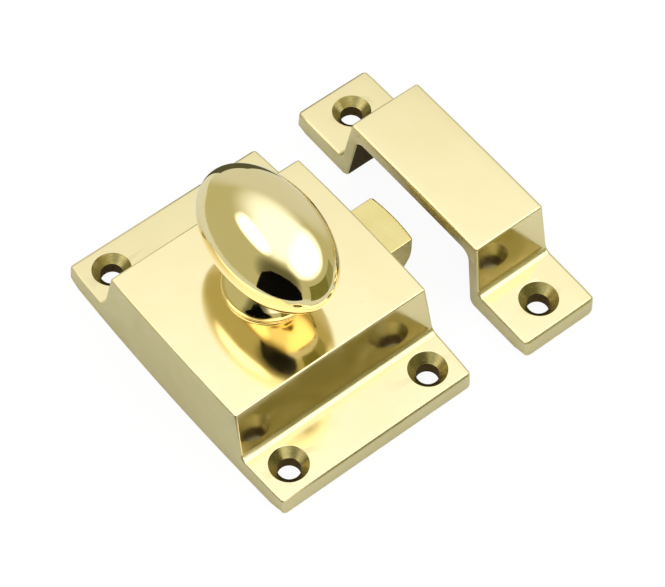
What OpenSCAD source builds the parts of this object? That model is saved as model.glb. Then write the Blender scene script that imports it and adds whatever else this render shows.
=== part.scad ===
// Cast cupboard latch: a turn-knob case with a spring bolt, and the keep that the bolt enters.
// +X is the way the bolt shoots, +Y runs along the case and +Z comes out of the door.
// The origin is on the spindle axis, in the plane of the back face.

/* [Case] */
// Length of the case at the door, along the door's edge
case_length = 64.6; // [62:0.2:72]
// Width of the case at the door, the way the bolt shoots
case_width = 45.5; // [45:0.5:48]
// Thickness of the two screw flanges
flange_thickness = 4.4; // [4:0.1:5.5]
// Height of the raised block above the door
block_height = 16; // [15.8:0.1:18]
// Length of the block's flat top
block_top_length = 36.7; // [36.5:0.1:40]
// Length of the block where its end walls would meet the flanges
block_base_length = 41.2; // [41:0.2:46]
// How far polishing has drawn in the corners of the long sides
side_bow = 0.8; // [0.1:0.05:1]
// Draft of the long sides, in mm for each mm of height
side_draft = 0.056; // [0.01:0.002:0.06]
// Draft of the flanges' ends, in mm for each mm of height
end_draft = 0.08; // [0:0.01:0.12]
// Thickness of the cast walls round the cavity
wall = 3; // [2.6:0.1:3.2]

/* [Screw holes] */
// Diameter of the plain holes for the wood screws
screw_hole_diameter = 4.3; // [3.8:0.1:4.6]
// Diameter of the countersinks
countersink_diameter = 7.8; // [7:0.1:8.4]
// Distance between the case's holes across its width
case_hole_spacing_x = 32; // [31:0.5:33]
// Distance between the case's holes along its length
case_hole_spacing_y = 53; // [52:0.5:54.5]

/* [Knob] */
// Length of the oval head, along the case
head_length = 32.6; // [28:0.2:36]
// Width of the oval head
head_width = 19.8; // [18:0.2:24]
// Depth of the oval head, out from the door
head_depth = 22.6; // [20:0.2:25]
// Height of the middle of the head above the door
head_centre_height = 30.2; // [30:0.1:33]
// Diameter of the round foot that bears on the case
foot_diameter = 17; // [15:0.2:18]
// Diameter of the spindle where it turns in the case
spindle_diameter = 8; // [7:0.1:8.4]
// Width across the flats of the squared spindle end
spindle_square = 5.5; // [5:0.1:5.6]

/* [Bolt] */
// Width of the bolt's nose
bolt_width = 12; // [11:0.2:13]
// Height of the bolt's nose
bolt_height = 9; // [8.8:0.1:9]
// How far the bolt stands out of the case
bolt_projection = 7.05; // [6.8:0.05:8.5]
// Radius of the ramp under the nose that rides over the keep
ramp_radius = 8.7; // [8:0.1:10]
// How far the bolt draws back
bolt_throw = 7.26; // [6:0.02:7.4]
// Angle that the knob turns to draw the bolt back
turn_angle = 52; // [50:1:56]

/* [Spring] */
// Outside diameter of the bolt spring
spring_diameter = 4.6; // [4.2:0.1:4.8]
// Diameter of its wire
wire_diameter = 0.5; // [0.4:0.05:0.6]
// Number of turns
spring_turns = 7; // [5:1:8]

/* [Back plate] */
// Thickness of the sheet that closes the cavity
plate_thickness = 1.5; // [1.4:0.1:1.6]
// Diameter of the plate screws' heads
plate_screw_head = 4.6; // [4:0.1:4.8]
// Diameter of the plate screws' shanks
plate_screw_shank = 2.4; // [2:0.1:2.6]

/* [Keep] */
// Length of the keep
keep_length = 67.8; // [66:0.2:72]
// Width of the keep at its feet
keep_width = 17.2; // [15:0.1:18]
// Thickness of its two feet
keep_foot_thickness = 4.4; // [3.8:0.1:4.6]
// Height of the top of its bridge
keep_height = 16.6; // [16:0.1:17]
// Thickness of its bridge
bridge_thickness = 3.4; // [3:0.1:3.8]
// Thickness of its two risers
riser_thickness = 2.7; // [2.4:0.1:3]
// Gap between the case and the keep, as the pair is laid out
keep_gap = 10.4; // [8.5:0.1:20]
// Distance between the keep's two holes
keep_hole_spacing = 54.8; // [54:0.2:57]
// Draft of the keep's long sides, in mm for each mm of height
keep_draft = 0.035; // [0.01:0.005:0.06]

/* [Hidden] */

$fn = 96;
over = 0.5;
arc_steps = 6;
fit_gap = 0.12;
turning_gap = 0.06;
seat_gap = 0.03;
brass = "#e6d489";
satin_brass = "#b8a86a";
steel = "#8d9094";

// Case, worked out from the block
half_width = case_width / 2;
half_length = case_length / 2;
block_top = block_top_length / 2;
block_base = block_base_length / 2;
block_lean = (block_base - block_top) / (block_height - flange_thickness);
root_fillet = 1.7;
flange_edge_radius = 0.7;
block_edge_radius = 0.45;
back_edge_radius = 0.4;
plan_corner_radius = 1.3;
bow_facets = 1200;
wall_foot = 1;
ceiling = block_height - wall;
cavity_x = half_width - wall - wall_foot;
cavity_top = block_top - wall;
cavity_base = cavity_top + block_lean * ceiling;

// Heights of the moving pieces, counted up from the back plate
running_gap = 0.15;
bolt_bottom = plate_thickness + running_gap;
bolt_top = bolt_bottom + bolt_height;
boss_bottom = bolt_top + running_gap;
bolt_plate_thickness = 3;
cam_top = bolt_top - bolt_plate_thickness - 0.3;
cam_thickness = 3;
cam_bottom = cam_top - cam_thickness;
square_bottom = cam_bottom + 0.1;
square_half = spindle_square / 2;

// Fastening of the cam
washer_thickness = 0.7;
washer_radius = 4.3;
cam_screw_radius = 1.7;
cam_screw_reach = 7.2;
cam_screw_head_radius = 3.1;
cam_screw_head_height = 1.7;
cam_screw_slot_width = 0.8;
cam_screw_slot_depth = 0.8;
tapping_radius = cam_screw_radius + 0.05;
tapping_depth = 6.5;

// Knob, turned below its oval head
foot_bottom = block_height + 0.08;
foot_top = block_height + 3.1;
foot_edge_radius = 0.6;
foot_shoulder = 1.2;
waist_height = foot_top + 0.55;
waist_radius = foot_diameter / 2 - 2.9;

// Cam, whose wings have involute flanks, so the bolt moves evenly with the knob
base_radius = bolt_throw / (turn_angle * PI / 180);
wing_end = turn_angle + 3;
wing_steps = 8;
wing_tip_width = 2;
cam_body_radius = 5.4;
hub_radius = 4.7;

// Bolt
bolt_tip = half_width + bolt_projection;
tail_rear = -9.5;
tail_half_width = 9.8;
tail_front = cavity_x - fit_gap;
nose_rear = cavity_x - 0.35;
recess_radius = cam_body_radius + 0.8;
slot_radius = hub_radius + 0.3;
ramp_height = 6.7;
ramp_steps = 8;
nose_edge_radius = 0.8;
nose_bow = 0.45;
spring_height = (bolt_bottom + bolt_top) / 2;
spring_pocket_radius = 2.7;
spring_pocket_depth = 2.4;

// Cast features inside the case
boss_radius = 7;
rib_thickness = 1.6;
rib_bottom = bolt_top - bolt_plate_thickness;
rib_half_length = 16.5;
column_x = cavity_x - 2.9;
column_y = cavity_top - 0.4;
column_radius = 3;
peg_radius = 1.4;
peg_length = 3;

// Back plate
plate_half_x = cavity_x + 1.1;
plate_half_y = cavity_base + 0.5;
plate_corner = 1.5;
plate_gap = 0.1;
plate_screw_length = 6.5;
plate_screw_sink = 0.05;
plate_screw_slot_width = 0.6;
plate_screw_slot_depth = 0.55;
tongue_half_width = bolt_width / 2;
tongue_end = half_width - 0.15;

// Keep
keep_x = half_width + keep_gap + keep_width / 2;
keep_half_length = keep_length / 2;
keep_foot_end = keep_half_length - end_draft * keep_foot_thickness;
bridge_top = 17.95;
riser_base = 20;
riser_lean = (riser_base - bridge_top) / (keep_height - keep_foot_thickness);
bridge_under = keep_height - bridge_thickness;
tunnel_top = bridge_top - riser_thickness + riser_lean * bridge_thickness;
tunnel_base = tunnel_top + riser_lean * bridge_under;
tunnel_top_radius = 2;
tunnel_foot_radius = 1.8;
keep_corner_radius = 0.9;

function unit(v) = v / norm(v);
function turned(v, a) = [v.x * cos(a) - v.y * sin(a), v.x * sin(a) + v.y * cos(a)];
function flat(p) = [p.x, p.y];

// Points of the arc that rounds the corner b, met between a and c, to the radius r
function corner_arc(a, b, c, r) =
    let (
        u = unit(a - b),
        v = unit(c - b),
        half = acos(u * v) / 2,
        centre = b + unit(u + v) * r / sin(half),
        first = b + u * r / tan(half) - centre,
        last = b + v * r / tan(half) - centre,
        sweep = sign(cross(first, last)) * (180 - 2 * half)
    )
    [for (i = [0 : arc_steps]) centre + turned(first, sweep * i / arc_steps)];

// A closed outline whose points are [x, y, corner radius]
function softened(points) =
    let (n = len(points))
    [for (i = [0 : n - 1]) each
        points[i].z == 0 ? [flat(points[i])]
        : corner_arc(flat(points[(i + n - 1) % n]), flat(points[i]), flat(points[(i + 1) % n]), points[i].z)];

// The right half of a symmetric outline, followed by its mirror image
function both_sides(points) =
    concat(points, [for (i = [len(points) - 1 : -1 : 0]) [-points[i].x, points[i].y, points[i].z]]);

module along_x(from, to) {
    translate([from, 0, 0])
        rotate([90, 0, 90])
            linear_extrude(height = to - from)
                children();
}

module along_y(width) {
    rotate([90, 0, 0])
        linear_extrude(height = width, center = true)
            children();
}

module at_corners(x, y) {
    for (sx = [-1, 1])
        for (sy = [-1, 1])
            translate([sx * x, sy * y, 0])
                children();
}

// Rounds an upright corner that stands at x, y
module corner_cutter(x, y, radius, height) {
    translate([x - radius, y - radius, -over])
        difference() {
            cube([radius + over, radius + over, height + 2 * over]);
            translate([0, 0, -over])
                cylinder(r = radius, h = height + 4 * over);
        }
}

// A plain hole with a right-angled countersink at the top of a plate
module countersunk_hole(thickness) {
    hole = screw_hole_diameter / 2;
    sink = countersink_diameter / 2;
    translate([0, 0, -over])
        cylinder(r = hole, h = thickness + 2 * over);
    translate([0, 0, thickness - (sink - hole)])
        cylinder(r1 = hole, r2 = sink + over, h = sink - hole + over);
}

// The case's hat section, cast in one piece with its flanges
module case_section() {
    polygon(softened(both_sides([
        [half_length, 0, back_edge_radius],
        [half_length - end_draft * flange_thickness, flange_thickness, flange_edge_radius],
        [block_base, flange_thickness, root_fillet],
        [block_top, block_height, block_edge_radius]
    ])));
}

// A long side is part of a very flat cone: bowed as seen from above, and drafted to leave the sand
module long_side() {
    radius = pow(half_length, 2) / (2 * side_bow);
    translate([half_width - radius, 0, -over])
        cylinder(
            r1 = radius + side_draft * over,
            r2 = radius - side_draft * (block_height + over),
            h = block_height + 2 * over,
            $fn = bow_facets
        );
}

module case_hollow() {
    along_x(-cavity_x, cavity_x)
        polygon([
            [-cavity_base - block_lean * over, -over],
            [cavity_base + block_lean * over, -over],
            [cavity_top, ceiling],
            [-cavity_top, ceiling]
        ]);
    translate([-plate_half_x - plate_gap, -plate_half_y - plate_gap, -over])
        cube([2 * (plate_half_x + plate_gap), 2 * (plate_half_y + plate_gap), plate_thickness + over]);
}

// The way through the wall for the bolt, open at the back as it is cast
module bolt_way() {
    half = bolt_width / 2 + fit_gap;
    translate([cavity_x - over, -half, -over])
        cube([half_width - cavity_x + 2 * over, 2 * half, bolt_top + fit_gap + over]);
}

module case_fittings() {
    translate([0, 0, boss_bottom])
        cylinder(r = boss_radius, h = ceiling - boss_bottom + over);
    for (side = [0, 1])
        mirror([0, side, 0])
            translate([-rib_half_length, tail_half_width + fit_gap, rib_bottom])
                cube([2 * rib_half_length, rib_thickness, ceiling - rib_bottom + over]);
    at_corners(column_x, column_y)
        translate([0, 0, plate_thickness])
            cylinder(r = column_radius, h = ceiling - plate_thickness + over);
    translate([-cavity_x - over, 0, spring_height])
        rotate([0, 90, 0])
            cylinder(r = peg_radius, h = peg_length + over);
}

module case() {
    corner_x = half_width - side_bow * pow(1 - plan_corner_radius / half_length, 2) + 0.02;
    color(brass)
        difference() {
            union() {
                difference() {
                    intersection() {
                        along_x(-half_width - over, half_width + over)
                            case_section();
                        long_side();
                        mirror([1, 0, 0])
                            long_side();
                    }
                    for (across = [0, 1])
                        for (along = [0, 1])
                            mirror([across, 0, 0])
                                mirror([0, along, 0])
                                    corner_cutter(corner_x, half_length, plan_corner_radius, block_height);
                    case_hollow();
                    bolt_way();
                }
                case_fittings();
            }
            translate([0, 0, boss_bottom - over])
                cylinder(r = spindle_diameter / 2 + turning_gap, h = block_height - boss_bottom + 2 * over);
            at_corners(case_hole_spacing_x / 2, case_hole_spacing_y / 2)
                countersunk_hole(flange_thickness);
            at_corners(column_x, column_y)
                translate([0, 0, plate_thickness - over])
                    cylinder(d = plate_screw_shank + 2 * seat_gap, h = plate_screw_length);
        }
}

// Oval head, waisted neck, foot, round spindle and squared end, all one casting
module knob() {
    foot = foot_diameter / 2;
    inside_head = foot_top + 4;
    color(brass)
        difference() {
            union() {
                translate([0, 0, head_centre_height])
                    scale([head_width / 2, head_length / 2, head_depth / 2])
                        sphere(r = 1);
                rotate_extrude()
                    polygon(softened([
                        [0, foot_bottom, 0],
                        [foot, foot_bottom, 0],
                        [foot - 0.15, foot_top - 0.9, foot_edge_radius],
                        [foot - foot_shoulder, foot_top, foot_edge_radius],
                        [waist_radius, waist_height, 0.9],
                        [waist_radius + 0.5, inside_head, 0],
                        [0, inside_head, 0]
                    ]));
                translate([0, 0, boss_bottom])
                    cylinder(d = spindle_diameter, h = block_height - boss_bottom + over);
                translate([-square_half, -square_half, square_bottom])
                    cube([spindle_square, spindle_square, boss_bottom - square_bottom + over]);
            }
            translate([0, 0, square_bottom - over])
                cylinder(r = tapping_radius, h = tapping_depth + over);
        }
}

// Flank of a wing, unwound from the base circle; its first point lies on the Y axis
function flank(a) = base_radius * [sin(a) - a * PI / 180 * cos(a), cos(a) + a * PI / 180 * sin(a)];

module wing() {
    tip = flank(wing_end);
    polygon(concat(
        [[0, 0]],
        [for (i = [0 : wing_steps]) flank(wing_end * i / wing_steps)],
        [tip + [wing_tip_width, -wing_tip_width * 0.35], [cam_body_radius - 0.6, 2.4]]
    ));
}

// Two-winged rollback cam with a hub that bears on the boss inside the case
module cam() {
    color(satin_brass)
        difference() {
            union() {
                translate([0, 0, cam_bottom])
                    linear_extrude(height = cam_thickness) {
                        circle(r = cam_body_radius);
                        wing();
                        mirror([0, 1])
                            wing();
                    }
                translate([0, 0, cam_bottom + cam_thickness / 2])
                    cylinder(r = hub_radius, h = boss_bottom - turning_gap - cam_bottom - cam_thickness / 2);
            }
            translate([0, 0, cam_bottom - over])
                linear_extrude(height = boss_bottom - cam_bottom + 2 * over)
                    square(spindle_square + 2 * seat_gap, center = true);
        }
}

module cam_washer() {
    color(steel)
        translate([0, 0, cam_bottom - washer_thickness])
            difference() {
                cylinder(r = washer_radius, h = washer_thickness);
                translate([0, 0, -over])
                    cylinder(r = tapping_radius, h = washer_thickness + 2 * over);
            }
}

// Slotted screw that draws the cam on to the spindle
module cam_screw() {
    head_top = cam_bottom - washer_thickness;
    head_bottom = head_top - cam_screw_head_height;
    color(steel)
        difference() {
            rotate_extrude()
                polygon(softened([
                    [0, head_bottom, 0],
                    [cam_screw_head_radius, head_bottom, 0.7],
                    [cam_screw_head_radius, head_top, 0],
                    [cam_screw_radius, head_top, 0],
                    [cam_screw_radius, head_top + cam_screw_reach, 0],
                    [0, head_top + cam_screw_reach, 0]
                ]));
            translate([-cam_screw_head_radius - over, -cam_screw_slot_width / 2, head_bottom - over])
                cube([2 * (cam_screw_head_radius + over), cam_screw_slot_width, cam_screw_slot_depth + over]);
        }
}

// The nose from the side: flat on top, with a round ramp underneath
module nose_section() {
    tip_height = bolt_bottom + ramp_height;
    low = asin(ramp_height / ramp_radius);
    ramp = [for (i = [0 : ramp_steps])
        let (a = low * (1 - i / ramp_steps))
        [bolt_tip - ramp_radius * (1 - cos(a)), tip_height - ramp_radius * sin(a), 0]];
    polygon(softened(concat(
        [[nose_rear, bolt_bottom, 0]],
        ramp,
        [[bolt_tip - 0.15, bolt_top, 0.6], [nose_rear, bolt_top, 0]]
    )));
}

// T-shaped bolt: a nose, a slotted plate over the cam and a tail with two lugs behind the wings
module bolt() {
    color(satin_brass)
        union() {
            intersection() {
                along_y(bolt_width)
                    nose_section();
                translate([0, 0, bolt_bottom - over])
                    linear_extrude(height = bolt_height + 2 * over)
                        polygon(softened([
                            [nose_rear - over, -bolt_width / 2, 0],
                            [bolt_tip - nose_bow, -bolt_width / 2, nose_edge_radius],
                            [bolt_tip, 0, 3],
                            [bolt_tip - nose_bow, bolt_width / 2, nose_edge_radius],
                            [nose_rear - over, bolt_width / 2, 0]
                        ]));
            }
            difference() {
                union() {
                    translate([0, 0, bolt_top - bolt_plate_thickness])
                        linear_extrude(height = bolt_plate_thickness)
                            polygon(softened([
                                [tail_rear, -tail_half_width, 1],
                                [tail_front, -tail_half_width, 1],
                                [tail_front, -bolt_width / 2, 0],
                                [tail_front + 1, -bolt_width / 2, 0],
                                [tail_front + 1, bolt_width / 2, 0],
                                [tail_front, bolt_width / 2, 0],
                                [tail_front, tail_half_width, 1],
                                [tail_rear, tail_half_width, 1]
                            ]));
                    difference() {
                        translate([0, 0, bolt_bottom])
                            linear_extrude(height = bolt_height - 1)
                                polygon(softened([
                                    [tail_rear, -tail_half_width, 1],
                                    [-fit_gap, -tail_half_width, 0],
                                    [-fit_gap, tail_half_width, 0],
                                    [tail_rear, tail_half_width, 1]
                                ]));
                        translate([0, 0, bolt_bottom - over])
                            cylinder(r = recess_radius, h = bolt_height - bolt_plate_thickness + over);
                    }
                }
                translate([0, 0, bolt_top - bolt_plate_thickness - over])
                    linear_extrude(height = bolt_plate_thickness + 2 * over) {
                        circle(r = slot_radius);
                        translate([0, -slot_radius])
                            square([bolt_throw + fit_gap, 2 * slot_radius]);
                        translate([bolt_throw + fit_gap, 0])
                            circle(r = slot_radius);
                    }
                translate([tail_rear - over, 0, spring_height])
                    rotate([0, 90, 0])
                        cylinder(r = spring_pocket_radius, h = spring_pocket_depth + over);
            }
        }
}

// Compression spring between the case wall and the tail of the bolt
module bolt_spring() {
    wire = wire_diameter / 2;
    coil = spring_diameter / 2 - wire;
    from = -cavity_x + wire + 0.05;
    to = tail_rear + spring_pocket_depth - wire - 0.05;
    turn_steps = 14;
    wire_sides = 6;
    rings = spring_turns * turn_steps;
    points = [for (i = [0 : rings]) for (k = [0 : wire_sides - 1])
        let (a = 360 * i / turn_steps, b = 360 * k / wire_sides, r = coil + wire * cos(b))
        [from + (to - from) * i / rings + wire * sin(b), r * cos(a), r * sin(a)]];
    sides = [for (i = [0 : rings - 1]) for (k = [0 : wire_sides - 1])
        let (p = i * wire_sides, n = (k + 1) % wire_sides)
        [p + k, p + n, p + wire_sides + n, p + wire_sides + k]];
    color(steel)
        translate([0, 0, spring_height])
            polyhedron(
                points = points,
                faces = concat(
                    [[for (k = [wire_sides - 1 : -1 : 0]) k]],
                    sides,
                    [[for (k = [0 : wire_sides - 1]) rings * wire_sides + k]]
                )
            );
}

// Sheet that closes the cavity, with a tongue under the bolt
module back_plate() {
    sink = plate_screw_head / 2 + plate_screw_sink + seat_gap;
    hole = plate_screw_shank / 2 + plate_gap;
    color(satin_brass)
        difference() {
            linear_extrude(height = plate_thickness)
                polygon(softened([
                    [-plate_half_x, -plate_half_y, plate_corner],
                    [plate_half_x, -plate_half_y, plate_corner],
                    [plate_half_x, -tongue_half_width, 0],
                    [tongue_end, -tongue_half_width, 0],
                    [tongue_end, tongue_half_width, 0],
                    [plate_half_x, tongue_half_width, 0],
                    [plate_half_x, plate_half_y, plate_corner],
                    [-plate_half_x, plate_half_y, plate_corner]
                ]));
            at_corners(column_x, column_y) {
                translate([0, 0, -over])
                    cylinder(r = hole, h = plate_thickness + 2 * over);
                translate([0, 0, -over])
                    cylinder(r1 = sink + over, r2 = hole, h = sink - hole + over);
            }
        }
}

// Small countersunk screw, its slotted head flush with the back
module plate_screw(sx, sy) {
    head = plate_screw_head / 2;
    shank = plate_screw_shank / 2;
    point = shank / 2;
    color(satin_brass)
        translate([sx * column_x, sy * column_y, 0])
            difference() {
                rotate_extrude()
                    polygon([
                        [0, plate_screw_sink],
                        [head, plate_screw_sink],
                        [shank, plate_screw_sink + head - shank],
                        [shank, plate_screw_length - point],
                        [point, plate_screw_length],
                        [0, plate_screw_length]
                    ]);
                rotate([0, 0, 40 + 25 * sx + 60 * sy])
                    translate([-head - over, -plate_screw_slot_width / 2, -over])
                        cube([2 * (head + over), plate_screw_slot_width, plate_screw_slot_depth + over]);
            }
}

// Strap-shaped keep with a foot at each end and the tunnel that takes the bolt
module keep() {
    color(brass)
        translate([keep_x, 0, 0])
            difference() {
                intersection() {
                    along_y(2 * keep_length)
                        polygon([
                            [-keep_width / 2 - keep_draft * over, -over],
                            [keep_width / 2 + keep_draft * over, -over],
                            [keep_width / 2 - keep_draft * (keep_height + over), keep_height + over],
                            [-keep_width / 2 + keep_draft * (keep_height + over), keep_height + over]
                        ]);
                    along_x(-keep_width, keep_width)
                        polygon(softened(both_sides([
                            [tunnel_top, bridge_under, tunnel_top_radius],
                            [tunnel_base, 0, tunnel_foot_radius],
                            [keep_half_length, 0, back_edge_radius],
                            [keep_foot_end, keep_foot_thickness, flange_edge_radius],
                            [riser_base, keep_foot_thickness, root_fillet],
                            [bridge_top, keep_height, block_edge_radius]
                        ])));
                    translate([0, 0, -over])
                        linear_extrude(height = keep_height + 2 * over)
                            polygon(softened(both_sides([
                                [keep_width / 2 + 0.02, -keep_half_length, keep_corner_radius],
                                [keep_width / 2 + 0.02, keep_half_length, keep_corner_radius]
                            ])));
                }
                for (side = [-1, 1])
                    translate([0, side * keep_hole_spacing / 2, 0])
                        countersunk_hole(keep_foot_thickness);
            }
}

case();
knob();
cam();
cam_washer();
cam_screw();
bolt();
bolt_spring();
back_plate();
plate_screw(1, 1);  // plate_screw_1
plate_screw(-1, 1);  // plate_screw_2
plate_screw(-1, -1);  // plate_screw_3
plate_screw(1, -1);  // plate_screw_4
keep();
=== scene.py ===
# Cupboard latch in polished cast brass: the finishes, the dressed castings, the studio and the camera
import math

import bmesh
import bpy
import numpy as np
from mathutils import Matrix, Vector
from mathutils.geometry import delaunay_2d_cdt


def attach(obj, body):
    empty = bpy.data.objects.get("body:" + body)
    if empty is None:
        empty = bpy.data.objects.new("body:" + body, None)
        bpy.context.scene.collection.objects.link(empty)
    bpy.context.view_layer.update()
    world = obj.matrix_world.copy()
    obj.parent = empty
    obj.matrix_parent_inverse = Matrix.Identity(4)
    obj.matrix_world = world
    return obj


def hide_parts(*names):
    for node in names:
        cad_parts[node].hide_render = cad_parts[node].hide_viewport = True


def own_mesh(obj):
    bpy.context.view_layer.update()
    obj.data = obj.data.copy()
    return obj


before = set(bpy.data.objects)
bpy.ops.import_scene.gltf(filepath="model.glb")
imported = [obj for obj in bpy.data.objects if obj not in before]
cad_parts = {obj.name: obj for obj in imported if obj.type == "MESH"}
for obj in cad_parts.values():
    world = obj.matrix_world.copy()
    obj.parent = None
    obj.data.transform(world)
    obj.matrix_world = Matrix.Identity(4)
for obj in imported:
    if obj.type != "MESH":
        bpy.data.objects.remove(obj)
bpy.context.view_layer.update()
mm = 0.001  # all sizes below are in millimetres, and the scene is in metres
weld = 0.002  # points of a CAD mesh nearer than this are one point
tightest = 0.02  # radius that an inset corner keeps at least
backFace = 0.03  # a face lower than this lies on the door
slack = 0.1  # when a face is told by where it lies
print("frame loaded:", len(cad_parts), "CAD nodes")


# Small helpers

def hexToLinear(code):
    channels = [int(code[i:i + 2], 16) / 255 for i in (1, 3, 5)]
    return [c / 12.92 if c <= 0.04045 else ((c + 0.055) / 1.055) ** 2.4 for c in channels] + [1.0]


def perMm(size):  # texture scale at which one feature of a pattern is this many millimetres
    return 1 / (size * mm)


def addNode(tree, kind, settings=None, inputs=None):  # inputs are values, sockets or nodes
    node = tree.nodes.new(kind)
    for name, value in (settings or {}).items():
        setattr(node, name, value)
    for name, value in (inputs or {}).items():
        if isinstance(value, bpy.types.Node):
            value = value.outputs[0]
        if isinstance(value, bpy.types.NodeSocket):
            tree.links.new(value, node.inputs[name])
        else:
            node.inputs[name].default_value = value
    return node


def meshObject(name, points, faces):
    mesh = bpy.data.meshes.new(name)
    mesh.from_pydata([[c * mm for c in p] for p in points], [], faces)
    shell = bmesh.new()
    shell.from_mesh(mesh)
    bmesh.ops.recalc_face_normals(shell, faces=shell.faces)
    shell.to_mesh(mesh)
    shell.free()
    piece = bpy.data.objects.new(name, mesh)
    bpy.context.scene.collection.objects.link(piece)
    return piece


def settle(piece):  # applies the modifiers, and leaves a plain mesh
    bpy.context.view_layer.update()
    evaluated = piece.evaluated_get(bpy.context.evaluated_depsgraph_get())
    plain = bpy.data.meshes.new_from_object(evaluated)
    plain.name = piece.name
    piece.modifiers.clear()
    piece.data = plain
    return piece


def carve(piece, tool, operation="DIFFERENCE"):
    cut = piece.modifiers.new("cut", "BOOLEAN")
    cut.operation = operation
    cut.solver = "EXACT"
    cut.object = tool
    settle(piece)
    bpy.data.objects.remove(tool)
    return piece


def cadCopy(node, name):  # a CAD node's mesh with its loose triangles joined up
    source = bmesh.new()
    source.from_mesh(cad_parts[node].data)
    bmesh.ops.remove_doubles(source, verts=source.verts, dist=weld * mm)
    source.verts.ensure_lookup_table()
    points = [v.co / mm for v in source.verts]
    faces = [[v.index for v in f.verts] for f in source.faces]
    source.free()
    return meshObject(name, points, faces)


def polish(piece):  # smooth faces, crisp only past an angle, and flats that stay flat
    crispAngle = 38
    flatWeight = 90
    for face in piece.data.polygons:
        face.use_smooth = True
    piece.data.set_sharp_from_angle(angle=math.radians(crispAngle))
    weighting = piece.modifiers.new("flat faces stay flat", "WEIGHTED_NORMAL")
    weighting.keep_sharp = True
    weighting.weight = flatWeight
    return settle(piece)


def smoothStep(value, low, high):
    t = np.clip((value - low) / (high - low), 0, 1)
    return t * t * (3 - 2 * t)


# Outlines and bars: a section with rounded corners, swept across, with its long arrises dubbed over

def outline(corners, inset):
    # corners run anticlockwise as (u, v, radius, steps); every inset gives the same number of points
    spacing = 3.0
    count = len(corners)
    places = [Vector(c[:2]) for c in corners]
    runs = [(places[(i + 1) % count] - places[i]).normalized() for i in range(count)]
    arcs = []
    for i, (u, v, radius, steps) in enumerate(corners):
        before, after = runs[i - 1], runs[i]
        leftBefore = Vector((-before.y, before.x))
        leftAfter = Vector((-after.y, after.x))
        corner = places[i] + (leftBefore + leftAfter) * inset / (1 + leftBefore.dot(leftAfter))
        turn = math.atan2(before.cross(after), before.dot(after))
        if radius == 0:
            arcs.append([corner])
            continue
        side = 1 if turn > 0 else -1
        bend = max(radius - side * inset, tightest)
        start = corner - before * bend * math.tan(abs(turn) / 2)
        centre = start + leftBefore * side * bend
        spoke = start - centre
        arcs.append([centre + Matrix.Rotation(turn * k / steps, 2) @ spoke for k in range(steps + 1)])
    points = []
    for i, arc in enumerate(arcs):
        points += arc
        parts = max(1, round((places[(i + 1) % count] - places[i]).length / spacing))
        first, last = arc[-1], arcs[(i + 1) % count][0]
        points += [first.lerp(last, k / parts) for k in range(1, parts)]
    return points


def bothSides(corners):  # the right half of a section, then its mirror image
    return corners + [(-u, v, radius, steps) for u, v, radius, steps in reversed(corners)]


def crowned(w, u, v, top, bend):  # how far a buffed top face has sunk towards its edges
    upright = 0.55  # share of the height up to which the walls don't sink
    return bend / 2 * (w * w + u * u) * float(smoothStep(v, top * upright, top))


def sagging(u, v, start, top, slope):  # the same for a flange, which the buff leaves falling outwards
    low, high = 0.4, 0.8  # shares of the flange's thickness between which the fall sets in
    out = max(abs(u) - start, 0.0)
    upper = float(smoothStep(v, top * low, top * high) * (v < top + slack))
    return slope * (math.hypot(out, 1) - 1) * upper


def onArris(n, satin):  # arrises and fillets stay a little duller than the faces that the buff reaches
    face, edge = 0.965, 0.9  # largest part of the normal along an axis, on a face and on an edge
    return satin * float(smoothStep(-max(abs(n.x), abs(n.y), abs(n.z)), -face, -edge))


def sweptBar(name, corners, halfWidth, arris, place, depth=0.0, arrisSteps=5, bays=6):
    # halfWidth(u, v) is half the bar's width there, and place(w, u, v) puts a point where the bar lies
    stations = []
    for k in range(arrisSteps + 1):
        turn = math.pi / 2 * k / arrisSteps
        stations.append((arris * (1 - math.cos(turn)), arris * (1 - math.sin(turn)), 1.0))
    middles = [(arris, 0.0, 1 - 2 * k / bays) for k in range(1, bays)]
    mirrored = [(back, inset, -share) for back, inset, share in reversed(stations)]
    points = []
    rings = []
    for back, inset, share in stations + middles + mirrored:
        section = outline(corners, inset + depth)
        rings.append(range(len(points), len(points) + len(section)))
        points += [place(share * (halfWidth(p.x, p.y) - depth - back), p.x, p.y) for p in section]
    faces = []
    size = len(rings[0])
    for a, b in zip(rings, rings[1:]):
        faces += [(a[i], a[(i + 1) % size], b[(i + 1) % size], b[i]) for i in range(size)]
    flat = outline(corners, arris + depth)
    loop = [(i, (i + 1) % size) for i in range(size)]
    insideOnly, tolerance = 1, 1e-6
    _, _, triangles, origins, _, _ = delaunay_2d_cdt(flat, loop, [], insideOnly, tolerance)
    for ring in (rings[0], rings[-1]):
        faces += [tuple(ring[origins[i][0]] for i in triangle) for triangle in triangles]
    return meshObject(name, points, faces)


# Finishes. The brass is pale yellow where it mirrors white, and deep gold where it mirrors itself

def newMaterial(name):
    material = bpy.data.materials.new(name)
    material.use_nodes = True
    tree = material.node_tree
    tree.nodes.clear()
    shader = addNode(tree, "ShaderNodeBsdfPrincipled", inputs={"Metallic": 1.0})
    addNode(tree, "ShaderNodeOutputMaterial", inputs={"Surface": shader.outputs["BSDF"]})
    return material, tree, shader


def unevenness(tree, size, detail, turn=0, roughness=0.5):
    # A cloud or a set of marks on a piece. size is that of one feature in mm, or three of them along X, Y
    # and Z where the marks are drawn out, and turn is in degrees
    spot = addNode(tree, "ShaderNodeTexCoord").outputs["Object"]
    laid = addNode(tree, "ShaderNodeMapping", inputs={
        "Vector": spot, "Rotation": (0, 0, math.radians(turn)),
        "Scale": perMm(np.broadcast_to(size, 3)).tolist()})
    return addNode(tree, "ShaderNodeTexNoise", inputs={
        "Vector": laid, "Scale": 1.0, "Detail": detail, "Roughness": roughness})


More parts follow.
